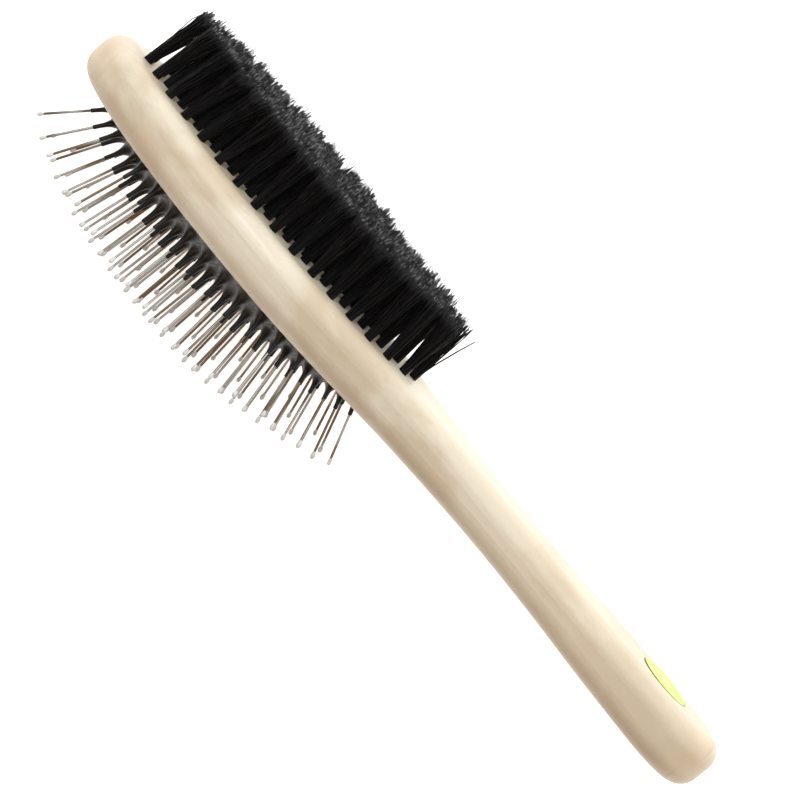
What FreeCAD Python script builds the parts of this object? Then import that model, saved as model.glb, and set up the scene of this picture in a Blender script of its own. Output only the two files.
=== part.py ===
"""Double-sided grooming brush: wire pins in an air cushion on one face, bristle tufts on the other.

The brush lies on its side. X runs from the head to the butt of the handle, +Y is the bristle side,
-Y is the pin side and +Z is across the brush, up. The origin is under the middle of its box, on
the surface that the side of the head touches. All lengths are in millimetres.
"""
import FreeCAD
import Part

import math
import os

V = FreeCAD.Vector

# wooden body
overall_length = 236.2
head_half_length = 62.0
head_half_width = 29.0
head_thickness = 14.3
neck_thickness = 13.1
butt_thickness = 14.9
butt_half_width = 13.9
butt_round_length = 18.7
edge_radius = 5.5
neck_start = 50.0

# bristle side
bristle_length = 18.5
tuft_foot_radius = 1.05
tuft_end_radius = 2.0
tuft_hole_radius = 1.3
tuft_hole_depth = 6.0
# for each oval of tufts: half length, half width, number of tufts, and the first tuft in steps
# past the neck end
tuft_rings = {
    "tufts_outer_ring": (51.8, 20.3, 33, 0.95),
    "tufts_second_ring": (46.7, 15.2, 29, 0.45),
    "tufts_third_ring": (41.6, 10.1, 24, 0.4),
    "tufts_inner_ring": (35.4, 5.1, 20, 0.0),
}
tufts_in_centre_line = 8
tuft_pitch = 7.0
anchor_length = 2.4
anchor_height = 1.6
anchor_thickness = 0.4
anchor_clearance = 0.2

# air cushion
chamber_half_length = 49.8
chamber_half_width = 22.6
chamber_depth = 6.1
groove_reach = 2.0
groove_top = 1.6
groove_bottom = 3.0
rubber_clearance = 0.1
rim_sink = 1.5
skin_height = 7.0
skin_thickness = 1.5
lining_gap = 0.2
lining_thickness = 0.5

# rubber boss round each pin
boss_height = 7.0
boss_foot_radius = 2.9
boss_waist_radius = 1.0
boss_waist_share = 0.46
boss_top_radius = 0.65
boss_sink = 0.7
boss_foot_clearance = 0.25
neck_boss_drop = 2.3
boss_drop_start = 12.0
boss_drop_end = 34.0

# pins
pin_pitch = 6.7
pin_line_spacing = 5.2
pin_field_half_length = 49.5
pin_field_half_width = 19.8
wire_showing = 14.0
pin_radius = 0.33
pin_hole_clearance = 0.04
pin_head_radius = 0.9
pin_head_thickness = 0.35
pin_head_depth = 2.95
fan_at = 46.9
tip_fan = 35.0
tip_fan_power = 2.7
neck_fan = 26.0
neck_fan_power = 1.0
fan_across = 16.0
fan_across_at = 15.6
fan_across_power = 1.5
uneven_lean = 1.0
tip_length = 1.8
tip_radius = 0.6
tip_neck_radius = 0.45
tip_wall_clearance = 0.01

# badge
badge_from_tip = 212.6
badge_half_length = 7.75
badge_half_width = 6.75
badge_thickness = 1.0
badge_recess = 0.8
badge_gap = 0.15
badge_edge_radius = 0.35

# where the middle of the head stands in the frame
head_x = head_half_length - overall_length / 2
bristle_reach = head_thickness / 2 + bristle_length
pin_reach = head_thickness / 2 + skin_height + boss_height + wire_showing
head_y = (pin_reach - bristle_reach) / 2
head_z = head_half_width
pin_face = -head_thickness / 2
bristle_face = head_thickness / 2


def at(x, y, z):
    """A point measured from the middle of the head."""
    return V(head_x + x, head_y + y, head_z + z)


def ellipse_wire(half_length, half_width, y, x=0.0):
    """A level oval across Y, centred on the head's long axis."""
    centre = at(x, y, 0)
    curve = Part.Ellipse(at(x + half_length, y, 0), at(x, y, half_width), centre)
    return Part.Wire(curve.toShape())


def ellipse_slab(half_length, half_width, y_from, y_to, x=0.0):
    """A flat oval block between two levels."""
    face = Part.Face(ellipse_wire(half_length, half_width, y_from, x))
    return face.extrude(V(0, y_to - y_from, 0))


def save(shape, name):
    shape.exportStep(os.path.join("parts", name + ".step"))
    solids = shape.Solids
    print(f"{name}: {len(solids)} solid(s), {shape.Volume:.1f} mm3, valid {shape.isValid()}")


# ---------------------------------------------------------------- wooden body


def plan_outline():
    """The brush seen from the bristle side: oval head, hollow-sided neck, swelling handle."""
    handle_end = overall_length - head_half_length - butt_round_length
    side = [
        (0.0, head_half_width),
        (20.0, 27.4),
        (38.0, 22.3),
        (50.0, 17.6),
        (62.0, 13.9),
        (76.0, 11.9),
        (94.0, 11.3),
        (120.0, 12.2),
        (handle_end, butt_half_width),
    ]
    edges = []
    nose = Part.Ellipse(at(-head_half_length, 0, 0), at(0, 0, head_half_width), at(0, 0, 0))
    edges.append(Part.Arc(nose, -math.pi / 2, math.pi / 2).toShape())
    for sign in (1, -1):
        curve = Part.BSplineCurve()
        curve.interpolate(
            Points=[at(x, 0, sign * z) for x, z in side],
            InitialTangent=V(1, 0, 0),
            FinalTangent=V(1, 0, 0),
        )
        edges.append(curve.toShape())
    butt = Part.Ellipse(
        at(handle_end + butt_round_length, 0, 0), at(handle_end, 0, butt_half_width), at(handle_end, 0, 0)
    )
    edges.append(Part.Arc(butt, -math.pi / 2, math.pi / 2).toShape())
    return Part.Wire(Part.__sortEdges__(edges))


def side_block():
    """The brush seen from the side: flat head, waisted handle, thicker butt, as a wide block."""
    end = overall_length
    half_levels = [
        (neck_start, head_thickness / 2),
        (98.0, neck_thickness / 2),
        (150.0, butt_thickness / 2),
        (end, butt_thickness / 2),
    ]
    wide = head_half_width + 5
    edges = []
    for sign in (1, -1):
        start = at(-end, sign * head_thickness / 2, -wide)
        bend = at(neck_start, sign * head_thickness / 2, -wide)
        edges.append(Part.LineSegment(start, bend).toShape())
        curve = Part.BSplineCurve()
        curve.interpolate(
            Points=[at(x, sign * y, -wide) for x, y in half_levels],
            InitialTangent=V(1, 0, 0),
            FinalTangent=V(1, 0, 0),
        )
        edges.append(curve.toShape())
    for x, half in ((-end, head_thickness / 2), (end, butt_thickness / 2)):
        edges.append(Part.LineSegment(at(x, -half, -wide), at(x, half, -wide)).toShape())
    outline = Part.Wire(Part.__sortEdges__(edges))
    return Part.Face(outline).extrude(V(0, 0, 2 * wide))


def round_edges(blank):
    """Round over the edges all along both broad faces."""
    chosen = []
    for edge in blank.Edges:
        middle = edge.valueAt((edge.FirstParameter + edge.LastParameter) / 2)
        ends = [v.Point for v in edge.Vertexes] + [middle]
        on_broad_face = min(abs(p.y - head_y) for p in ends) > neck_thickness / 2 - 0.5
        one_side = max(p.y for p in ends) - min(p.y for p in ends) < 2.0
        across_the_neck = abs(middle.x - head_x - neck_start) < 0.5 and abs(middle.z - head_z) < 1.0
        if on_broad_face and one_side and not across_the_neck:
            chosen.append(edge)
    return blank.makeFillet(edge_radius, chosen)


def wooden_body(tuft_places):
    slab = Part.Face(plan_outline()).extrude(V(0, 4 * head_thickness, 0))
    slab.translate(V(0, -2 * head_thickness, 0))
    body = round_edges(slab.common(side_block()).Solids[0])
    deep = pin_face + chamber_depth
    chamber = ellipse_slab(chamber_half_length, chamber_half_width, pin_face - 1, deep)
    groove = ellipse_slab(
        chamber_half_length + groove_reach,
        chamber_half_width + groove_reach,
        pin_face + groove_top,
        pin_face + groove_bottom,
    )
    holes = []
    for x, z in tuft_places:
        foot = at(x, bristle_face - tuft_hole_depth, z)
        holes.append(Part.makeCylinder(tuft_hole_radius, tuft_hole_depth + 1, foot, V(0, 1, 0)))
    badge_x = badge_from_tip - head_half_length
    floor = butt_thickness / 2 - badge_recess
    pocket = ellipse_slab(
        badge_half_length + badge_gap, badge_half_width + badge_gap, floor, floor + 5, badge_x
    )
    return body.cut([chamber.fuse(groove), pocket] + holes)


def badge():
    badge_x = badge_from_tip - head_half_length
    floor = butt_thickness / 2 - badge_recess
    disc = ellipse_slab(badge_half_length, badge_half_width, floor, floor + badge_thickness, badge_x)
    top = [e for e in disc.Edges if e.BoundBox.YMin > head_y + floor + badge_thickness - 0.01]
    return disc.makeFillet(badge_edge_radius, top)


# ---------------------------------------------------------------- bristle tufts


def ring_places(half_length, half_width, count, start):
    """Places at equal steps along an oval, the first one start steps past its far end."""
    fine = 2000
    walked = [0.0]
    for i in range(fine):
        a, b = 2 * math.pi * i / fine, 2 * math.pi * (i + 1) / fine
        dx = half_length * (math.cos(b) - math.cos(a))
        dz = half_width * (math.sin(b) - math.sin(a))
        walked.append(walked[-1] + math.hypot(dx, dz))
    places = []
    for n in range(count):
        goal = walked[-1] * ((n + start) / count % 1)
        i = max(j for j in range(fine) if walked[j] <= goal)
        angle = 2 * math.pi * (i + (goal - walked[i]) / (walked[i + 1] - walked[i])) / fine
        places.append((half_length * math.cos(angle), half_width * math.sin(angle)))
    return places


def tuft_layout():
    """Tuft places of each group: four ovals, one inside the other, and a centre line."""
    layout = {name: ring_places(*ring) for name, ring in tuft_rings.items()}
    middle = (tufts_in_centre_line - 1) / 2
    layout["tufts_centre_line"] = [((n - middle) * tuft_pitch, 0.0) for n in range(tufts_in_centre_line)]
    return layout


def tufts(places):
    """Each tuft as the plain cone of bristle that stands from its hole to the trimmed ends."""
    foot = bristle_face - tuft_hole_depth + anchor_height + anchor_clearance
    length = bristle_face + bristle_length - foot
    return [
        Part.makeCone(tuft_foot_radius, tuft_end_radius, length, at(x, foot, z), V(0, 1, 0))
        for x, z in places
    ]


def tuft_anchors(places):
    """A flat strip of wire across the foot of each tuft hole."""
    foot = bristle_face - tuft_hole_depth
    corner = V(anchor_length / 2, 0, anchor_thickness / 2)
    return [
        Part.makeBox(anchor_length, anchor_height, anchor_thickness, at(x, foot, z) - corner)
        for x, z in places
    ]


# ---------------------------------------------------------------- air cushion


def dome(inset):
    """The domed block inside the cushion, inset from its outside, down to its sunk rim."""
    half_length = chamber_half_length - rubber_clearance - inset
    half_width = chamber_half_width - rubber_clearance - inset
    height = skin_height + rim_sink - inset
    wires = []
    for r in (1.0, 0.92, 0.82, 0.7, 0.56, 0.42, 0.28, 0.12):
        y = pin_face + rim_sink - height * (1 - r**2)
        wires.append(ellipse_wire(half_length * r ** (2 / 3), half_width * r, y))
    return Part.makeLoft(wires, True, False)


def skin_level(x, z):
    """How far the outside of the rubber stands out from the pin face at a place, by halving."""
    low, high = 0.0, 1.0
    half_length = chamber_half_length - rubber_clearance
    half_width = chamber_half_width - rubber_clearance
    for _ in range(50):
        v = (low + high) / 2
        outside = (x / half_length) ** 2 / (1 - v) ** (2 / 3) + (z / half_width) ** 2 / (1 - v)
        if outside > 1:
            high = v
        else:
            low = v
    return (skin_height + rim_sink) * low - rim_sink


def pin_direction(x, z):
    """Pins fan out from the middle, steadily towards the neck but only near the end at the tip.

    Each one also leans a little on its own, up or down the head, as pins held only by rubber do.
    """
    if x < 0:
        along = tip_fan * (-x / fan_at) ** tip_fan_power
    else:
        along = neck_fan * (x / fan_at) ** neck_fan_power
    across = fan_across * (abs(z) / fan_across_at) ** fan_across_power
    uneven = uneven_lean * math.sin(2.3 * x + 4.1 * abs(z))
    tilt_x = math.tan(math.radians(math.copysign(along, x) + uneven))
    tilt_z = math.copysign(math.tan(math.radians(across)), z)
    return V(tilt_x, -1, tilt_z).normalize()


def pin_rows():
    """Pin places in cross rows from the tip of the head to the neck.

    Seven lengthwise lines, every second one shifted by half a pitch. A row joins the pins of the
    even lines with those of the odd lines half a pitch nearer the middle of the head.
    """
    rows = []
    columns = int(pin_field_half_length / pin_pitch)
    for column in range(-columns, columns + 1):
        row = []
        for line in range(-3, 4):
            if line % 2 and column == 0:
                continue
            inward = 0.5 * math.copysign(1, column) if line % 2 else 0.0
            x = pin_pitch * (column - inward)
            z = pin_line_spacing * line
            if (x / pin_field_half_length) ** 2 + (z / pin_field_half_width) ** 2 <= 1:
                row.append((x, z))
        rows.append(row)
    return rows


def boss_height_at(x):
    """Bosses are one height from the tip to past the middle of the head, and lower by the neck."""
    share = (x - boss_drop_start) / (boss_drop_end - boss_drop_start)
    return boss_height - neck_boss_drop * min(max(share, 0), 1)


def stand(shape, x, z):
    """Put a shape made along +Z at the origin onto the skin, along its pin."""
    turned = shape.copy()
    foot = at(x, pin_face - skin_level(x, z), z)
    turned.Placement = FreeCAD.Placement(foot, FreeCAD.Rotation(V(0, 0, 1), pin_direction(x, z)))
    return turned


def turned_piece(profile):
    """A round solid from (radius, height) points, its axis along +Z."""
    points = [V(r, 0, h) for r, h in profile]
    wire = Part.makePolygon(points + [points[0]])
    return Part.Face(wire).revolve(V(0, 0, 0), V(0, 0, 1), 360)


def boss(height):
    """A cone with a flared foot and a close sleeve, its axis along +Z."""
    return turned_piece(
        [
            (0, -boss_sink),
            (boss_foot_radius, -boss_sink),
            (boss_waist_radius, boss_waist_share * height),
            (boss_top_radius, height),
            (0, height),
        ]
    )


def bosses(places):
    """The bosses, cut off clear of the wood where one stands close to the rim."""
    wood = ellipse_slab(
        head_half_length, head_half_width, pin_face - boss_foot_clearance, pin_face + boss_height
    )
    mouth = ellipse_slab(
        chamber_half_length - rubber_clearance,
        chamber_half_width - rubber_clearance,
        pin_face - boss_height,
        pin_face + 2 * boss_height,
    )
    rim = wood.cut(mouth)
    return [stand(boss(boss_height_at(x)), x, z).cut(rim) for x, z in places]


def pin_holes(places, clearance):
    radius = pin_radius + clearance
    drill = Part.makeCylinder(radius, boss_height + 6, V(0, 0, -5))
    return [stand(drill, x, z) for x, z in places]


def rubber_cushion(places):
    """Domed skin, collar through the mouth of the chamber, lip in the groove, and the bosses."""
    skin = dome(0)
    length = chamber_half_length - rubber_clearance
    width = chamber_half_width - rubber_clearance
    lip_top = pin_face + groove_top + rubber_clearance
    lip_bottom = pin_face + groove_bottom - rubber_clearance
    collar = ellipse_slab(length, width, pin_face + rim_sink, lip_bottom)
    lip = ellipse_slab(length + groove_reach, width + groove_reach, lip_top, lip_bottom)
    outside = skin.fuse([collar, lip])
    outside = outside.fuse(bosses(places))
    bore = ellipse_slab(
        length - skin_thickness, width - skin_thickness, pin_face + rim_sink, lip_bottom + 1
    )
    hollow = dome(skin_thickness).fuse(bore)
    return outside.cut([hollow] + pin_holes(places, pin_hole_clearance)).removeSplitter()


def cushion_lining(places):
    """The sheet of cloth under the rubber that the pin heads bear on."""
    outside = dome(skin_thickness + lining_gap)
    inside = dome(skin_thickness + lining_gap + lining_thickness)
    return outside.cut([inside] + pin_holes(places, 3 * pin_hole_clearance))


# ---------------------------------------------------------------- pins


def pin_wire(length):
    """Straight wire with its inner end flattened into a head, and its length above the skin."""
    end = length - tip_length / 2
    return turned_piece(
        [
            (0, -pin_head_depth),
            (pin_head_radius, -pin_head_depth),
            (pin_head_radius, pin_head_thickness - pin_head_depth),
            (pin_radius, pin_head_thickness - pin_head_depth),
            (pin_radius, end),
            (0, end),
        ]
    )


def pin_tip(length):
    """Drop of resin that the end of the wire sits in."""
    start = length - tip_length
    widest = length - tip_radius
    shoulder = Part.makeCone(tip_neck_radius, tip_radius, widest - start, V(0, 0, start))
    end = Part.makeSphere(tip_radius, V(0, 0, widest))
    socket = Part.makeCylinder(
        pin_radius + tip_wall_clearance, tip_length / 2 + tip_wall_clearance, V(0, 0, start)
    )
    return shoulder.fuse(end).removeSplitter().cut(socket)


# ---------------------------------------------------------------- build

os.makedirs("parts", exist_ok=True)

layout = tuft_layout()
all_tufts = [place for places in layout.values() for place in places]
rows = pin_rows()
all_pins = [place for row in rows for place in row]
print(len(all_tufts), "tufts", len(all_pins), "pins in", len(rows), "rows")
print(f"mid plane at {head_y:.3f}, bristle ends at {head_y + bristle_reach:.3f}")

save(wooden_body(all_tufts), "wooden_body")
save(badge(), "badge")
for name, places in layout.items():
    save(Part.makeCompound(tufts(places)), name)
save(Part.makeCompound(tuft_anchors(all_tufts)), "tuft_anchors")
save(rubber_cushion(all_pins), "rubber_cushion")
save(cushion_lining(all_pins), "cushion_lining")
for number, row in enumerate(rows, start=1):
    wires = [stand(pin_wire(boss_height_at(x) + wire_showing), x, z) for x, z in row]
    tips = [stand(pin_tip(boss_height_at(x) + wire_showing), x, z) for x, z in row]
    save(Part.makeCompound(wires), f"pins_row_{number:02d}")
    save(Part.makeCompound(tips), f"tips_row_{number:02d}")
    level = sum(skin_level(x, z) for x, z in row) / len(row)
    middle = (min(x for x, z in row) + max(x for x, z in row)) / 2
    pivot = at(middle, pin_face - level, 0)
    print(f"row {number:02d} rocks about {pivot.x:.2f}, {pivot.y:.2f}, {pivot.z:.2f}")
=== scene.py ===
import math
import random

import bmesh
import bpy
import numpy as np
from mathutils import Matrix, Vector


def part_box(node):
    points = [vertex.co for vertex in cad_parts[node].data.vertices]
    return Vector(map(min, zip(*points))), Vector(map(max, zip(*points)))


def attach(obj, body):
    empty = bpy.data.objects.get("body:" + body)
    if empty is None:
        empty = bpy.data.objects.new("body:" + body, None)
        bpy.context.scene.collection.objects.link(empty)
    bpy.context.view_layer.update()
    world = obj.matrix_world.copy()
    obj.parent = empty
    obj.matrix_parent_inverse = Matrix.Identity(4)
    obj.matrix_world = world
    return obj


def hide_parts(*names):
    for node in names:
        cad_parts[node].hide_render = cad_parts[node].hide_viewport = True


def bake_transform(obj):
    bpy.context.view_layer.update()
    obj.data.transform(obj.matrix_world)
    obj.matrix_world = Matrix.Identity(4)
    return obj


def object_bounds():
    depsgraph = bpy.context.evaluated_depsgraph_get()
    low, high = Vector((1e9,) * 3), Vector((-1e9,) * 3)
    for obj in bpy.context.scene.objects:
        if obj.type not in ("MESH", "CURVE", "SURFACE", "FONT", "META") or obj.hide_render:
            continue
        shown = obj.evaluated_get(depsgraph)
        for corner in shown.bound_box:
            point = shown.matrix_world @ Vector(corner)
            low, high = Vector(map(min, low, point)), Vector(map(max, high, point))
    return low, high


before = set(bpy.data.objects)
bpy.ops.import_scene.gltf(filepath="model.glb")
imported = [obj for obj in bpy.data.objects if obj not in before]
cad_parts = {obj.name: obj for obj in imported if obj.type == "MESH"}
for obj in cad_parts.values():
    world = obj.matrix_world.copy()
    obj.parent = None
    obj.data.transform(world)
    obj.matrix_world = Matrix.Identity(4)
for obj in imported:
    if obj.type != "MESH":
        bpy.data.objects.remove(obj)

cad_low, cad_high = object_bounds()

# ---------------------------------------------------------------- the beech body
# One piece of pale beech, band-sawn, drilled and routed, then sanded round along every edge and
# sealed with a thin satin coat. The grain runs the length of the brush, with short dark flecks,
# and the butt and the nose show darker end grain.

MM = 0.001
BEECH_PALE = (0.82, 0.725, 0.57, 1)
BEECH_WARM = (0.66, 0.53, 0.375, 1)
BEECH_PINK = (0.72, 0.58, 0.45, 1)
BEECH_FLECK = (0.50, 0.34, 0.20, 1)
BEECH_END = (0.80, 0.62, 0.42, 1)
BUTT_END_GRAIN = 14 * MM
NECK_AT = 0.38
WARMING_LENGTH = 90 * MM
body_low, body_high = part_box("wooden_body")


def new_material(name, roughness):
    """An empty finish: its node tree, its surface shader and the place on the object it reads."""
    material = bpy.data.materials.new(name)
    material.use_nodes = True
    tree = material.node_tree
    shader = tree.nodes["Principled BSDF"]
    shader.inputs["Roughness"].default_value = roughness
    place = tree.nodes.new("ShaderNodeTexCoord").outputs["Object"]
    return material, tree, shader, place


def add_node(tree, kind, settings=None, **values):
    """A node with its settings, and with a value or a link on each input that is named."""
    node = tree.nodes.new(kind)
    for key, value in (settings or {}).items():
        setattr(node, key, value)
    for key, value in values.items():
        socket = node.inputs[int(key[1:])] if key[0] == "i" and key[1:].isdigit() else node.inputs[key]
        if isinstance(value, bpy.types.NodeSocket):
            tree.links.new(value, socket)
        else:
            socket.default_value = value
    return node


def ramp(tree, value, low, high, to_low=0.0, to_high=1.0):
    """Stretch the part of a value between low and high, smoothly, over a new range."""
    node = add_node(tree, "ShaderNodeMapRange", {"interpolation_type": "SMOOTHSTEP"}, Value=value)
    for name, number in zip(("From Min", "From Max", "To Min", "To Max"), (low, high, to_low, to_high)):
        node.inputs[name].default_value = number
    return node.outputs["Result"]


def mix_colours(tree, share, first, second):
    node = add_node(tree, "ShaderNodeMix", {"data_type": "RGBA"}, i0=share, i6=first, i7=second)
    return node.outputs[2]


def object_normal(tree, axis):
    """How far the surface faces along one of the object's own axes."""
    normal = tree.nodes["Texture Coordinate"].outputs["Normal"]
    return add_node(tree, "ShaderNodeSeparateXYZ", None, i0=normal).outputs[axis]


def bump(tree, shader, height, strength, depth):
    """Raise and sink the surface by a height, under whatever bump is already there."""
    node = add_node(tree, "ShaderNodeBump", None, Strength=strength, Distance=depth, Height=height)
    earlier = shader.inputs["Normal"].links
    if earlier:
        tree.links.new(earlier[0].from_socket, node.inputs["Normal"])
    tree.links.new(node.outputs["Normal"], shader.inputs["Normal"])


def dress(node_name, material):
    """Give a part that came with the frame its finish."""
    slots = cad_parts[node_name].data.materials
    slots.clear()
    slots.append(material)


def streaks_group():
    """Long soft streaks along X, as grain and drawn wire have: one value, 0 to 1."""
    group = bpy.data.node_groups.new("streaks", "ShaderNodeTree")
    group.interface.new_socket("Place", in_out="INPUT", socket_type="NodeSocketVector")
    group.interface.new_socket("Along", in_out="INPUT", socket_type="NodeSocketFloat")
    group.interface.new_socket("Across", in_out="INPUT", socket_type="NodeSocketFloat")
    group.interface.new_socket("Wander", in_out="INPUT", socket_type="NodeSocketFloat")
    group.interface.new_socket("Streak", in_out="OUTPUT", socket_type="NodeSocketFloat")
    inside = group.nodes.new("NodeGroupInput").outputs
    wander = add_node(group, "ShaderNodeTexNoise", None, Vector=inside["Place"], Scale=14.0, Detail=2.0)
    shift = add_node(group, "ShaderNodeVectorMath", {"operation": "SCALE"}, i0=wander.outputs["Color"])
    group.links.new(inside["Wander"], shift.inputs["Scale"])
    moved = add_node(
        group, "ShaderNodeVectorMath", {"operation": "ADD"}, i0=inside["Place"], i1=shift.outputs[0]
    )
    scale = add_node(group, "ShaderNodeCombineXYZ", None, X=inside["Along"], Y=inside["Across"])
    group.links.new(inside["Across"], scale.inputs["Z"])
    stretched = add_node(
        group, "ShaderNodeVectorMath", {"operation": "MULTIPLY"}, i0=moved.outputs[0], i1=scale.outputs[0]
    )
    noise = add_node(group, "ShaderNodeTexNoise", None, Vector=stretched.outputs[0], Scale=1.0, Detail=4.0)
    outside = group.nodes.new("NodeGroupOutput")
    group.links.new(noise.outputs["Fac"], outside.inputs["Streak"])
    return group


def mottle_group():
    """Soft irregular patches, as handling, sanding and dust leave: one value, 0 to 1."""
    group = bpy.data.node_groups.new("mottle", "ShaderNodeTree")
    group.interface.new_socket("Place", in_out="INPUT", socket_type="NodeSocketVector")
    group.interface.new_socket("Scale", in_out="INPUT", socket_type="NodeSocketFloat")
    group.interface.new_socket("Detail", in_out="INPUT", socket_type="NodeSocketFloat")
    group.interface.new_socket("Patch", in_out="OUTPUT", socket_type="NodeSocketFloat")
    inside = group.nodes.new("NodeGroupInput").outputs
    noise = add_node(group, "ShaderNodeTexNoise", None, Vector=inside["Place"])
    group.links.new(inside["Scale"], noise.inputs["Scale"])
    group.links.new(inside["Detail"], noise.inputs["Detail"])
    outside = group.nodes.new("NodeGroupOutput")
    group.links.new(noise.outputs["Fac"], outside.inputs["Patch"])
    return group


streaks = streaks_group()
mottle = mottle_group()


def streak_value(tree, place, along, across, wander):
    node = add_node(tree, "ShaderNodeGroup", {"node_tree": streaks}, Place=place)
    node.inputs["Along"].default_value = along
    node.inputs["Across"].default_value = across
    node.inputs["Wander"].default_value = wander
    return node.outputs["Streak"]


def mottle_value(tree, place, scale, detail=3.0):
    node = add_node(tree, "ShaderNodeGroup", {"node_tree": mottle}, Place=place)
    node.inputs["Scale"].default_value = scale
    node.inputs["Detail"].default_value = detail
    return node.outputs["Patch"]


def beech():
    material, tree, shader, place = new_material("beech, satin sealed", 0.46)
    shader.inputs["Coat Weight"].default_value = 0.2
    shader.inputs["Coat Roughness"].default_value = 0.4
    grain = streak_value(tree, place, 22.0, 900.0, 0.004)
    bands = streak_value(tree, place, 9.0, 150.0, 0.012)
    clouds = mottle_value(tree, place, 42.0, 4.0)
    flecks = streak_value(tree, place, 330.0, 2600.0, 0.0)
    patches = streak_value(tree, place, 34.0, 62.0, 0.02)
    colour = mix_colours(tree, ramp(tree, bands, 0.40, 0.68, 0.0, 0.28), BEECH_PALE, BEECH_WARM)
    colour = mix_colours(tree, ramp(tree, patches, 0.45, 0.62, 0.0, 0.95), colour, BEECH_WARM)
    colour = mix_colours(tree, ramp(tree, clouds, 0.47, 0.70, 0.0, 0.7), colour, BEECH_PINK)
    along_brush = add_node(tree, "ShaderNodeSeparateXYZ", None, i0=place).outputs["X"]
    # The wood turns warmer and darker from the neck along the handle.
    neck = body_low.x + NECK_AT * (body_high.x - body_low.x)
    warmer = ramp(tree, along_brush, neck, neck + WARMING_LENGTH, 0.0, 0.55)
    colour = mix_colours(tree, warmer, colour, BEECH_WARM)
    colour = mix_colours(tree, ramp(tree, grain, 0.50, 0.80, 0.0, 0.42), colour, BEECH_WARM)
    colour = mix_colours(tree, ramp(tree, flecks, 0.64, 0.76, 0.0, 0.55), colour, BEECH_FLECK)
    end_on = add_node(tree, "ShaderNodeMath", {"operation": "ABSOLUTE"}, i0=object_normal(tree, "X"))
    at_end = ramp(tree, end_on.outputs[0], 0.45, 1.0)
    butt_from = body_high.x - BUTT_END_GRAIN
    butt_to = body_high.x - 0.3 * BUTT_END_GRAIN
    at_butt = ramp(tree, along_brush, butt_from, butt_to, 0.0, 0.7)
    end_grain = add_node(tree, "ShaderNodeMath", {"operation": "MAXIMUM"}, i0=at_end, i1=at_butt).outputs[0]
    colour = mix_colours(tree, end_grain, colour, BEECH_END)
    rings = streak_value(tree, place, 380.0, 45.0, 0.003)
    ring_lines = ramp(tree, rings, 0.52, 0.68, 0.0, 0.5)
    ring_marks = add_node(tree, "ShaderNodeMath", {"operation": "MULTIPLY"}, i0=end_grain, i1=ring_lines)
    colour = mix_colours(tree, ring_marks.outputs[0], colour, BEECH_FLECK)
    tree.links.new(colour, shader.inputs["Base Color"])
    tree.links.new(ramp(tree, grain, 0.3, 0.8, 0.40, 0.56), shader.inputs["Roughness"])
    bump(tree, shader, grain, 0.35, 0.05 * MM)
    bump(tree, shader, flecks, 0.25, 0.04 * MM)
    return material


dress("wooden_body", beech())

# ---------------------------------------------------------------- the badge
# A small oval of lime-green resin, glued into a shallow recess near the butt. Its side wall is
# painted dark olive: painted shade.
# It carries no mark.

BADGE_LIME = (0.47, 0.68, 0.03, 1)
BADGE_LIGHT = (0.60, 0.78, 0.09, 1)
BADGE_EDGE_SHADE = (0.06, 0.055, 0.01, 1)


def badge_resin():
    material, tree, shader, place = new_material("lime badge resin", 0.3)
    shader.inputs["Specular IOR Level"].default_value = 0.3
    patch = mottle_value(tree, place, 260.0, 2.0)
    face = mix_colours(tree, ramp(tree, patch, 0.35, 0.7), BADGE_LIME, BADGE_LIGHT)
    # Painted shade: the badge's side wall, where the surface turns away from its face, is dark olive.
    on_face = ramp(tree, object_normal(tree, "Y"), 0.55, 0.9)
    colour = mix_colours(tree, on_face, BADGE_EDGE_SHADE, face)
    tree.links.new(colour, shader.inputs["Base Color"])
    bump(tree, shader, patch, 0.12, 0.05 * MM)
    return material


dress("badge", badge_resin())

# ---------------------------------------------------------------- the bristle tufts
# Bundles of black nylon bristle, each folded over a flat wire anchor and driven into a blind hole,
# then all trimmed to one level. The cut ends stand a little uneven and splay into one another.

FILAMENTS_IN_TUFT = 56
FILAMENT_RADIUS = 0.15 * MM
FILAMENT_SIDES = 4
FILAMENT_STEPS = (-0.05, 0.12, 0.5, 0.84, 1.0)
FACE_BUNDLE_RADIUS = 1.1 * MM
END_BUNDLE_RADIUS = 3.3 * MM
TRIM_UNEVENNESS = 0.55 * MM
HIGHEST_END = 1.3 * MM
END_KINK = 0.24 * MM
TUFT_LEAN = 0.5 * MM
TUFT_ROOT_DEPTH = 4.2 * MM
INWARD_LEAN = 0.05
UPRIGHT_AT = 12 * MM
BRISTLE_BLACK = (0.005, 0.0048, 0.0055, 1)
BRISTLE_BROWN = (0.030, 0.022, 0.018, 1)
BRISTLE_CUT_AND_HIGHLIGHT = (0.20, 0.19, 0.185, 1)
BRISTLE_SEED = 41
PALE_FROM = 0.3 * MM
PALE_TO = 0.6 * MM
TUFT_LOOSENESS = (0.78, 1.04)
FILAMENT_SPREAD = (0.8, 1.12)
FILAMENT_THICKNESS = (0.85, 1.1)
FOOT_TURN = 0.25
END_TURN = 0.18
FILAMENT_BOW = 1.2
KINKED_ABOVE = 0.8
CUT_END_SHARE = 0.8
STRAY_STEPS = (0.0, 0.35, 0.7, 1.0)
STRAY_BOW = 1.4
GOLDEN_ANGLE = math.pi * (3 - math.sqrt(5))


def separate_solids(node_name):
    """The corner points of each separate solid in a part that holds several."""
    work = bmesh.new()
    work.from_mesh(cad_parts[node_name].data)
    bmesh.ops.remove_doubles(work, verts=work.verts, dist=0.001 * MM)
    found = []
    waiting = set(work.verts)
    while waiting:
        island = set()
        edge_of_island = [next(iter(waiting))]
        while edge_of_island:
            vert = edge_of_island.pop()
            if vert in island:
                continue
            island.add(vert)
            edge_of_island.extend(edge.other_vert(vert) for edge in vert.link_edges)
        waiting -= island
        found.append(np.array([vert.co for vert in island]))
    work.free()
    return sorted(found, key=lambda points: (round(points[:, 0].mean(), 5), round(points[:, 2].mean(), 5)))


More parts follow.
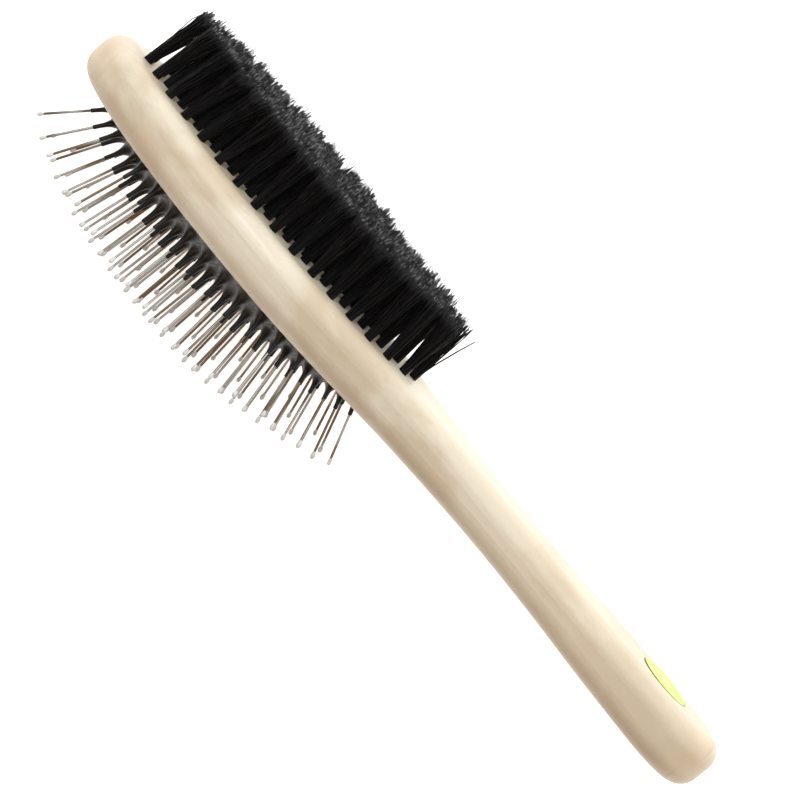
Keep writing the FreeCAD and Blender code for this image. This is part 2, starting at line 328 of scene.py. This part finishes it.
def make_mesh_object(name, corners, faces, material, smooth=True):
    mesh = bpy.data.meshes.new(name)
    mesh.from_pydata(corners, [], faces)
    mesh.update()
    if smooth:
        mesh.polygons.foreach_set("use_smooth", [True] * len(mesh.polygons))
    mesh.materials.append(material)
    piece = bpy.data.objects.new(name, mesh)
    bpy.context.scene.collection.objects.link(piece)
    return piece


def bristle_nylon(end_level):
    material, tree, shader, place = new_material("black bristle", 0.42)
    shader.inputs["Specular IOR Level"].default_value = 0.2
    fine = add_node(tree, "ShaderNodeVectorMath", {"operation": "MULTIPLY"}, i0=place)
    fine.inputs[1].default_value = (2600.0, 60.0, 2600.0)
    strand = mottle_value(tree, fine.outputs[0], 1.0, 2.0)
    colour = mix_colours(tree, ramp(tree, strand, 0.52, 0.78), BRISTLE_BLACK, BRISTLE_BROWN)
    height = add_node(tree, "ShaderNodeSeparateXYZ", None, i0=place).outputs["Y"]
    # Paler near the cut ends, in streaks: partly the ends' own grey, partly a painted highlight where light
    # catches them.
    near_end = ramp(tree, height, end_level - PALE_FROM, end_level + PALE_TO)
    pale_strand = ramp(tree, strand, 0.46, 0.60)
    pale_end = add_node(tree, "ShaderNodeMath", {"operation": "MULTIPLY"}, i0=near_end, i1=pale_strand)
    colour = mix_colours(tree, pale_end.outputs[0], colour, BRISTLE_CUT_AND_HIGHLIGHT)
    tree.links.new(colour, shader.inputs["Base Color"])
    tree.links.new(ramp(tree, strand, 0.3, 0.75, 0.30, 0.52), shader.inputs["Roughness"])
    bump(tree, shader, strand, 0.2, 0.02 * MM)
    return material


class Bundle:
    """Filaments gathered for one mesh."""

    def __init__(self):
        self.corners = []
        self.faces = []

    def add(self, line, radii):
        """One filament along a line of points, closed at its cut end."""
        first = len(self.corners)
        turn = random.uniform(0, math.tau)
        for point, radius in zip(line, radii):
            for side in range(FILAMENT_SIDES):
                angle = turn + math.tau * side / FILAMENT_SIDES
                self.corners.append(
                    (point[0] + radius * math.cos(angle), point[1], point[2] + radius * math.sin(angle))
                )
        for ring in range(len(line) - 1):
            low = first + ring * FILAMENT_SIDES
            for side in range(FILAMENT_SIDES):
                after = (side + 1) % FILAMENT_SIDES
                self.faces.append(
                    (low + side, low + FILAMENT_SIDES + side, low + FILAMENT_SIDES + after, low + after)
                )
        last = first + (len(line) - 1) * FILAMENT_SIDES
        self.faces.append(tuple(last + side for side in reversed(range(FILAMENT_SIDES))))


def add_tuft(bundle, x, z, face_level, end_level):
    """Spread a tuft's filaments from the tight ring in its hole to the loose cut ends."""
    lean_x = random.gauss(0, TUFT_LEAN) - INWARD_LEAN * (x - head_middle.x - UPRIGHT_AT)
    lean_z = random.gauss(0, TUFT_LEAN)
    trimmed = end_level + random.gauss(0, 0.5 * TRIM_UNEVENNESS)
    loose = END_BUNDLE_RADIUS * random.uniform(*TUFT_LOOSENESS)
    for n in range(FILAMENTS_IN_TUFT):
        share = math.sqrt((n + 0.5) / FILAMENTS_IN_TUFT)
        angle = n * GOLDEN_ANGLE + random.gauss(0, FOOT_TURN)
        foot_x = x + FACE_BUNDLE_RADIUS * share * math.cos(angle)
        foot_z = z + FACE_BUNDLE_RADIUS * share * math.sin(angle)
        spread = loose * share * random.uniform(*FILAMENT_SPREAD)
        end_angle = angle + random.gauss(0, END_TURN)
        end_x = x + lean_x + spread * math.cos(end_angle)
        end_z = z + lean_z + spread * math.sin(end_angle)
        end_y = min(trimmed + random.gauss(0, TRIM_UNEVENNESS), end_level + HIGHEST_END)
        line = []
        for t in FILAMENT_STEPS:
            bow = max(t, 0.0) ** FILAMENT_BOW
            kink = END_KINK if t > KINKED_ABOVE else 0.0
            line.append(
                (
                    foot_x + (end_x - foot_x) * bow + random.gauss(0, kink),
                    face_level + (end_y - face_level) * t,
                    foot_z + (end_z - foot_z) * bow + random.gauss(0, kink),
                )
            )
        thick = FILAMENT_RADIUS * random.uniform(*FILAMENT_THICKNESS)
        bundle.add(line, [thick] * (len(line) - 1) + [CUT_END_SHARE * thick])


def add_stray(bundle, foot, end, radius):
    """A single filament that has worked loose and leans out."""
    line = []
    for t in STRAY_STEPS:
        shares = (t**STRAY_BOW, t, t)
        line.append([a + (b - a) * share for a, b, share in zip(foot, end, shares)])
    bundle.add(line, (radius, radius, radius, 0.7 * radius))


random.seed(BRISTLE_SEED)
field_low, field_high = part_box("tufts_outer_ring")
head_middle = (field_low + field_high) / 2
bristle_end_level = field_high.y
bristle_face_level = field_low.y + TUFT_ROOT_DEPTH
nylon = bristle_nylon(bristle_end_level)
for ring in sorted(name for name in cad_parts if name.startswith("tufts_")):
    bundle = Bundle()
    for points in separate_solids(ring):
        x, _, z = (points.min(0) + points.max(0)) / 2
        add_tuft(bundle, x, z, bristle_face_level, bristle_end_level)
    if ring == "tufts_outer_ring":
        low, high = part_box(ring)
        middle = (low + high) / 2
        neck_side = (high.x - 1.4 * MM, bristle_face_level, middle.z + 1.0 * MM)
        leaning = (high.x + 1.2 * MM, bristle_end_level + 0.2 * MM, middle.z + 4.0 * MM)
        add_stray(bundle, neck_side, leaning, 1.3 * FILAMENT_RADIUS)
    piece = make_mesh_object("bristle_" + ring, bundle.corners, bundle.faces, nylon)
    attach(piece, "brush_body")
    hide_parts(ring)

# ---------------------------------------------------------------- the tuft anchors
# Flat drawn wire, one short length in each blind hole, with the tuft folded round it.
# They sit below the face of the wood, out of sight.

ANCHOR_DARK = (0.52, 0.49, 0.44, 1)
ANCHOR_PALE = (0.66, 0.63, 0.58, 1)


def anchor_wire():
    material, tree, shader, place = new_material("flat anchor wire", 0.38)
    shader.inputs["Metallic"].default_value = 1.0
    drawn = streak_value(tree, place, 40.0, 3000.0, 0.0)
    colour = mix_colours(tree, ramp(tree, drawn, 0.3, 0.7), ANCHOR_DARK, ANCHOR_PALE)
    tree.links.new(colour, shader.inputs["Base Color"])
    return material


dress("tuft_anchors", anchor_wire())

# ---------------------------------------------------------------- the pins
# Straight drawn steel wire, its inner end flattened to a head that bears on the cushion's lining.
# Some wires are painted browner than others, a painted reflection of the wood, and all of them
# reflect darkly where they turn edge on.

PIN_STEEL = (0.62, 0.60, 0.575, 1)
PIN_BROWN_REFLECTION = (0.24, 0.175, 0.12, 1)
PIN_EDGE = (0.10, 0.062, 0.034, 1)
pin_nodes = sorted(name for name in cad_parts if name.startswith("pins_row_"))


def pin_steel():
    material, tree, shader, place = new_material("drawn pin steel", 0.24)
    shader.inputs["Metallic"].default_value = 1.0
    shader.inputs["Specular Tint"].default_value = PIN_EDGE
    each_wire = add_node(tree, "ShaderNodeVectorMath", {"operation": "MULTIPLY"}, i0=place, i1=(1, 0.08, 1))
    tint = mottle_value(tree, each_wire.outputs[0], 170.0, 1.0)
    # Some whole wires turn brown: a painted reflection of the wood, set into the steel's colour.
    colour = mix_colours(tree, ramp(tree, tint, 0.42, 0.60), PIN_STEEL, PIN_BROWN_REFLECTION)
    tree.links.new(colour, shader.inputs["Base Color"])
    tree.links.new(ramp(tree, tint, 0.3, 0.7, 0.2, 0.36), shader.inputs["Roughness"])
    return material


steel = pin_steel()
for name in pin_nodes:
    dress(name, steel)


def pin_axes(node_name):
    """For each wire of a row: the middle of its head, its outer end and its direction."""
    axes = []
    for points in separate_solids(node_name):
        middle = points.mean(0)
        direction = np.linalg.svd(points - middle)[2][0]
        if direction[1] > 0:
            direction = -direction
        along = (points - middle) @ direction
        axes.append((middle + direction * along.min(), middle + direction * along.max(), direction))
    return axes


# ---------------------------------------------------------------- the pin tips
# Each wire is dipped in resin, which sets as an off-white drop on its outer end. The drops differ
# a little in length and width from pin to pin.

TIP_LENGTH = 1.95 * MM
TIP_RADIUS = 0.60 * MM
TIP_SOCKET = 0.85 * MM
TIP_CREAM = (0.76, 0.755, 0.74, 1)
TIP_AMBER = (0.62, 0.60, 0.56, 1)
WIRE_RADIUS = 0.33 * MM
ROUND_STEPS = 20
TIP_SEED = 7
TIP_STEPS = 10
TIP_WIDEST_AT = 0.62
TIP_COLLAR = 1.05
TIP_WIDTHS = (0.88, 1.06)
TIP_LENGTHS = (0.9, 1.12)


def tip_resin():
    material, tree, shader, place = new_material("dipped tip resin", 0.25)
    shader.inputs["Subsurface Weight"].default_value = 0.25
    shader.inputs["Subsurface Radius"].default_value = (0.9, 0.7, 0.5)
    shader.inputs["Subsurface Scale"].default_value = 0.6 * MM
    shader.inputs["Coat Weight"].default_value = 0.4
    patch = mottle_value(tree, place, 520.0, 2.0)
    tree.links.new(
        mix_colours(tree, ramp(tree, patch, 0.4, 0.75), TIP_CREAM, TIP_AMBER), shader.inputs["Base Color"]
    )
    bump(tree, shader, patch, 0.15, 0.05 * MM)
    return material


def side_directions(direction):
    """Two directions square to a pin and to each other."""
    along = Vector(direction)
    first = along.cross(Vector((1, 0, 0))).normalized()
    return np.array(first), np.array(along.cross(first).normalized())


def add_turned(corners, faces, foot, direction, profile):
    """A round shape about a pin, from (height, radius) points, open at its first ring."""
    first_side, second_side = side_directions(direction)
    start = len(corners)
    for height, radius in profile:
        for step in range(ROUND_STEPS):
            angle = math.tau * step / ROUND_STEPS
            out = first_side * math.cos(angle) + second_side * math.sin(angle)
            corners.append(tuple(foot + direction * height + out * radius))
    for ring in range(len(profile) - 1):
        low = start + ring * ROUND_STEPS
        for step in range(ROUND_STEPS):
            after = (step + 1) % ROUND_STEPS
            faces.append((low + step, low + after, low + ROUND_STEPS + after, low + ROUND_STEPS + step))
    last = start + (len(profile) - 1) * ROUND_STEPS
    faces.append(tuple(last + step for step in range(ROUND_STEPS)))


random.seed(TIP_SEED)
resin = tip_resin()
for name in pin_nodes:
    corners, faces = [], []
    for _, wire_end, direction in pin_axes(name):
        radius = TIP_RADIUS * random.uniform(*TIP_WIDTHS)
        length = TIP_LENGTH * random.uniform(*TIP_LENGTHS)
        end = TIP_SOCKET
        collar = TIP_COLLAR * WIRE_RADIUS
        profile = [(end - length, collar)]
        for step in range(1, TIP_STEPS):
            share = step / TIP_STEPS
            swell = math.sin(0.5 * math.pi * min(share / TIP_WIDEST_AT, 1.0)) ** 1.5
            past_widest = max((share - TIP_WIDEST_AT) / (1 - TIP_WIDEST_AT), 0.0)
            close = math.sqrt(max(1 - past_widest**2, 0.0))
            width = collar * (1 - swell) + radius * swell * close
            profile.append((end - length * (1 - share), width))
        profile.append((end, 0.18 * radius))
        add_turned(corners, faces, wire_end, direction, profile)
    number = name[-2:]
    piece = make_mesh_object("resin_tips_" + number, corners, faces, resin)
    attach(piece, "pin_row_" + number)
    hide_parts("tips_row_" + number)

# ---------------------------------------------------------------- the rubber cushion
# One moulding of black rubber: a domed skin held by a lip in the wood, air behind it, and a tall
# flared boss gripping every pin, each boss built along the line of its own pin.

SKIN_OVER_LINING = 1.7 * MM
SKIN_LEVELS = 26
SKIN_AROUND = 120
PIN_HEAD_DEPTH = 2.95 * MM
WIRE_PAST_BOSS = 13.1 * MM
BOSS_FOOT_RADIUS = 3.3 * MM
BOSS_SLEEVE_RADIUS = 0.56 * MM
BOSS_RINGS = 18
MOUTH_SHARE = 0.985
RUBBER_BLACK = (0.008, 0.0072, 0.0065, 1)
RUBBER_BLOOM = (0.030, 0.027, 0.025, 1)
# Pale grey for the painted sheen between the bosses, drawn as dust.
RUBBER_DUST_AND_SHEEN = (0.16, 0.155, 0.15, 1)
DUST_SHEEN = 0.12
DUST_AND_SHEEN_HEIGHT = 0.25
DUST_AND_SHEEN_SLOPE = 1.7
DUST_AND_SHEEN_START = 0.35
HALVINGS = 30
RIM_RISE = 1.3 * MM
BOSS_FLARE = 3.4
BOSS_REACH = 1.25
BOSS_FIRM_AT = 0.35
BOSS_OVER_SKIN = 0.06 * MM
BOSS_LIP = 0.08 * MM

lining_low, lining_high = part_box("cushion_lining")
cushion_middle = (lining_low + lining_high) / 2
skin_half_length = (lining_high.x - lining_low.x) / 2 + SKIN_OVER_LINING
skin_half_width = (lining_high.z - lining_low.z) / 2 + SKIN_OVER_LINING
rim_level = lining_high.y
skin_crown = rim_level - lining_low.y + SKIN_OVER_LINING


def black_rubber():
    material, tree, shader, place = new_material("black rubber", 0.34)
    shader.inputs["Specular IOR Level"].default_value = 0.4
    shader.inputs["Sheen Weight"].default_value = DUST_SHEEN
    shader.inputs["Sheen Roughness"].default_value = 0.35
    bloom = mottle_value(tree, place, 130.0, 4.0)
    colour = mix_colours(tree, ramp(tree, bloom, 0.5, 0.8), RUBBER_BLACK, RUBBER_BLOOM)
    # Pale grey laid low between the bosses, in patches: painted sheen standing in for the grey reflection
    # there, drawn as dust.
    dust_and_sheen = add_node(tree, "ShaderNodeAttribute", {"attribute_name": "dust_and_sheen"}).outputs["Fac"]
    where_dust_and_sheen_lie = ramp(tree, bloom, 0.2, 0.5)
    dust_and_sheen_share = add_node(tree, "ShaderNodeMath", {"operation": "MULTIPLY"}, i0=dust_and_sheen, i1=where_dust_and_sheen_lie)
    tree.links.new(mix_colours(tree, dust_and_sheen_share.outputs[0], colour, RUBBER_DUST_AND_SHEEN), shader.inputs["Base Color"])
    tree.links.new(ramp(tree, bloom, 0.3, 0.8, 0.26, 0.46), shader.inputs["Roughness"])
    skin_texture = mottle_value(tree, place, 1500.0, 2.0)
    bump(tree, shader, skin_texture, 0.12, 0.03 * MM)
    return material


def mark_dust_and_sheen(piece, values):
    """Note how much painted sheen, drawn as pale dust, each corner gets: between the bosses, and more on
    the crown.
    """
    levels = [(rim_level - corner.co.y) / skin_crown for corner in piece.data.vertices]
    note = piece.data.attributes.new("dust_and_sheen", "FLOAT", "POINT")
    crown_share = [min(max(DUST_AND_SHEEN_SLOPE * level - DUST_AND_SHEEN_START, 0.0), 1.0) for level in levels]
    note.data.foreach_set("value", [value * share for value, share in zip(values, crown_share)])


def skin_point(x, z):
    """A place on the outside of the domed skin, found by halving, for a place across the cushion."""
    along = abs(x - cushion_middle.x) / skin_half_length
    across = abs(z - cushion_middle.z) / skin_half_width
    low, high = 0.0, 1.0
    for _ in range(HALVINGS):
        v = (low + high) / 2
        if along**2 / (1 - v) ** (2 / 3) + across**2 / (1 - v) > 1:
            high = v
        else:
            low = v
    return np.array((x, rim_level - skin_crown * low, z))


def dome_skin(material):
    corners = [(cushion_middle.x, rim_level - skin_crown, cushion_middle.z)]
    faces = []
    for level in range(1, SKIN_LEVELS + 1):
        r = (level / SKIN_LEVELS) ** 1.2
        for step in range(SKIN_AROUND):
            angle = math.tau * step / SKIN_AROUND
            corners.append(
                (
                    cushion_middle.x + skin_half_length * r ** (2 / 3) * math.cos(angle),
                    rim_level - skin_crown * (1 - r**2),
                    cushion_middle.z + skin_half_width * r * math.sin(angle),
                )
            )
    for x, y, z in corners[-SKIN_AROUND:]:
        corners.append((x, y + RIM_RISE, z))
    for step in range(SKIN_AROUND):
        faces.append((0, 1 + step, 1 + (step + 1) % SKIN_AROUND))
    for level in range(SKIN_LEVELS):
        low = 1 + level * SKIN_AROUND
        for step in range(SKIN_AROUND):
            after = (step + 1) % SKIN_AROUND
            faces.append((low + step, low + SKIN_AROUND + step, low + SKIN_AROUND + after, low + after))
    return make_mesh_object("cushion_skin", corners, faces, material)


def inside_mouth(x, z):
    """The same place, drawn in to the mouth of the chamber if it lies beyond it."""
    along = (x - cushion_middle.x) / skin_half_length
    across = (z - cushion_middle.z) / skin_half_width
    share = min(MOUTH_SHARE / max(math.hypot(along, across), 1e-6), 1.0)
    return (
        cushion_middle.x + along * skin_half_length * share,
        cushion_middle.z + across * skin_half_width * share,
    )


def add_boss(corners, faces, foot, direction, height):
    """A flared cone that leaves the skin almost level and tightens to a sleeve round the pin."""
    first_side, second_side = side_directions(direction)
    start = len(corners)
    for ring in range(BOSS_RINGS):
        share = ring / (BOSS_RINGS - 1)
        radius = BOSS_SLEEVE_RADIUS + (BOSS_FOOT_RADIUS - BOSS_SLEEVE_RADIUS) * (1 - share) ** BOSS_FLARE
        reach = height * share**BOSS_REACH
        rise = min(share / BOSS_FIRM_AT, 1.0)
        firm = rise**2 * (3 - 2 * rise)
        for step in range(ROUND_STEPS):
            angle = math.tau * step / ROUND_STEPS
            out = first_side * math.cos(angle) + second_side * math.sin(angle)
            on_pin = foot + direction * reach + out * radius
            beside = foot + out * radius
            on_skin = skin_point(*inside_mouth(beside[0], beside[2]))
            on_skin = on_skin + np.array((0, BOSS_OVER_SKIN - reach, 0))
            corners.append(tuple(on_skin * (1 - firm) + on_pin * firm))
    for radius in (0.6 * BOSS_SLEEVE_RADIUS, WIRE_RADIUS):
        for step in range(ROUND_STEPS):
            angle = math.tau * step / ROUND_STEPS
            out = first_side * math.cos(angle) + second_side * math.sin(angle)
            corners.append(tuple(foot + direction * (height + BOSS_LIP) + out * radius))
    for ring in range(BOSS_RINGS + 1):
        low = start + ring * ROUND_STEPS
        for step in range(ROUND_STEPS):
            after = (step + 1) % ROUND_STEPS
            faces.append((low + step, low + after, low + ROUND_STEPS + after, low + ROUND_STEPS + step))


rubber = black_rubber()
skin = dome_skin(rubber)
# The skin takes the painted sheen, drawn as dust, over its crown.
mark_dust_and_sheen(skin, [1.0] * len(skin.data.vertices))
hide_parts("rubber_cushion")
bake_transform(skin)
for name in pin_nodes:
    corners, faces, dust_and_sheen = [], [], []
    number = name[-2:]
    for head, end, direction in pin_axes(name):
        height = np.linalg.norm(end - head) - PIN_HEAD_DEPTH - WIRE_PAST_BOSS
        add_boss(corners, faces, head + direction * PIN_HEAD_DEPTH, direction, height)
        # The painted sheen, drawn as dust, on the low part of each boss.
        for ring in range(BOSS_RINGS + 2):
            dust_and_sheen += [max(1 - ring / (BOSS_RINGS - 1) / DUST_AND_SHEEN_HEIGHT, 0.0)] * ROUND_STEPS
    piece = make_mesh_object("rubber_bosses_" + number, corners, faces, rubber)
    mark_dust_and_sheen(piece, dust_and_sheen)
    points = np.array(corners)
    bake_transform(piece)

# ---------------------------------------------------------------- the lining
# A plain-woven cotton sheet under the rubber. The pin heads bear on it.
# It is out of sight inside the brush.

LINING_PALE = (0.60, 0.57, 0.50, 1)
LINING_DARK = (0.40, 0.37, 0.31, 1)


def lining_cloth():
    material, tree, shader, place = new_material("lining cloth", 0.85)
    weave = add_node(tree, "ShaderNodeTexWave", {"bands_direction": "X"}, Vector=place, Scale=900.0)
    cross = add_node(tree, "ShaderNodeTexWave", {"bands_direction": "Z"}, Vector=place, Scale=900.0)
    threads = add_node(
        tree, "ShaderNodeMath", {"operation": "MULTIPLY"}, i0=weave.outputs["Fac"], i1=cross.outputs["Fac"]
    )
    colour = mix_colours(tree, threads.outputs[0], LINING_DARK, LINING_PALE)
    tree.links.new(colour, shader.inputs["Base Color"])
    bump(tree, shader, threads.outputs[0], 0.4, 0.1 * MM)
    return material


dress("cushion_lining", lining_cloth())

# ---------------------------------------------------------------- the floor, the light, the camera
# The brush lies on its side on a plain white floor under broad soft light. The camera looks down on
# the side of the head from a little to the bristle side, with the brush across the frame. Behind
# the floor the camera sees plain white, while the light that reaches the brush is a graded sky.

FLOOR_SIZE = 6.0
FLOOR_GREY = (0.93, 0.93, 0.93, 1)
FLOOR_WHITE = (0.95, 0.95, 0.95, 1)
FLOOR_GLOW = 0.72
FILM_WIDTH = 36.0
LAMP_SIZE = 0.6
KEY_PLACE = (-0.25, 0.8, 0.88)
KEY_POWER = 6.9
KEY_COLOUR = (0.81, 0.92, 1.0)
FILL_PLACE = (-0.3, -0.9, 0.9)
FILL_POWER = 1.5
FILL_COLOUR = (1.0, 0.66, 0.32)
CAMERA_TILT = math.radians(10.0)
CAMERA_ROLL = math.radians(50.5)
CAMERA_DISTANCE = 0.95
SCALE_ACROSS_FRAME = 0.200
AIM_ALONG = -1.9 * MM
AIM_ACROSS = 1.1 * MM


def floor_white():
    material, tree, shader, place = new_material("white floor", 0.7)
    patch = mottle_value(tree, place, 3.0, 2.0)
    tree.links.new(mix_colours(tree, patch, FLOOR_GREY, FLOOR_WHITE), shader.inputs["Base Color"])
    shader.inputs["Emission Color"].default_value = (1, 1, 1, 1)
    shader.inputs["Emission Strength"].default_value = FLOOR_GLOW
    return material


half = FLOOR_SIZE / 2
floor_level = cad_low[2]
floor = make_mesh_object(
    "floor",
    [(x, y, floor_level) for x, y in ((-half, -half), (half, -half), (half, half), (-half, half))],
    [(0, 1, 2, 3)],
    floor_white(),
)

SKY_HIGH = (1.0, 0.97, 0.93, 1)
SKY_LOW = (0.10, 0.08, 0.062, 1)
BACKDROP_WHITE = (1, 1, 1, 1)

world = bpy.data.worlds.new("studio")
world.use_nodes = True
sky = world.node_tree
background = sky.nodes["Background"]
background.inputs["Strength"].default_value = 1.0
around = sky.nodes.new("ShaderNodeTexCoord").outputs["Generated"]
direction = add_node(sky, "ShaderNodeSeparateXYZ", None, i0=around)
sideways = add_node(sky, "ShaderNodeMath", {"operation": "MULTIPLY_ADD"}, i0=direction.outputs["Y"], i1=0.6)
sky.links.new(direction.outputs["Z"], sideways.inputs[2])
height = ramp(sky, sideways.outputs[0], 0.35, 1.05)
lighting = mix_colours(sky, height, SKY_LOW, SKY_HIGH)
seen = add_node(sky, "ShaderNodeLightPath").outputs["Is Camera Ray"]
sky.links.new(mix_colours(sky, seen, lighting, BACKDROP_WHITE), background.inputs["Color"])
bpy.context.scene.world = world


def soft_light(name, place, aim, size, power, colour):
    light = bpy.data.lights.new(name, "AREA")
    light.color = colour
    light.shape = "DISK"
    light.size = size
    light.energy = power
    lamp = bpy.data.objects.new(name, light)
    lamp.location = place
    lamp.rotation_euler = (Vector(aim) - Vector(place)).to_track_quat("-Z", "Y").to_euler()
    bpy.context.scene.collection.objects.link(lamp)


middle = (Vector(cad_low) + Vector(cad_high)) / 2
soft_light("key", KEY_PLACE, middle, LAMP_SIZE, KEY_POWER, KEY_COLOUR)
soft_light("pin side fill", FILL_PLACE, middle, LAMP_SIZE, FILL_POWER, FILL_COLOUR)

along = Vector((1, 0, 0))
across = Vector((0, math.cos(CAMERA_TILT), -math.sin(CAMERA_TILT)))
towards_camera = along.cross(across)
right = along * math.cos(CAMERA_ROLL) + across * math.sin(CAMERA_ROLL)
up = across * math.cos(CAMERA_ROLL) - along * math.sin(CAMERA_ROLL)
wood_middle = (body_low + body_high) / 2
aim = wood_middle + along * AIM_ALONG + across * AIM_ACROSS
camera_data = bpy.data.cameras.new("camera")
camera_data.sensor_width = FILM_WIDTH
camera_data.lens = FILM_WIDTH * CAMERA_DISTANCE / SCALE_ACROSS_FRAME
camera_data.clip_start = 0.05
camera = bpy.data.objects.new("camera", camera_data)
turn = Matrix((right, up, towards_camera)).transposed().to_4x4()
camera.matrix_world = Matrix.Translation(aim + towards_camera * CAMERA_DISTANCE) @ turn
bpy.context.scene.collection.objects.link(camera)
bpy.context.scene.camera = camera
bpy.context.scene.view_settings.view_transform = "Standard"
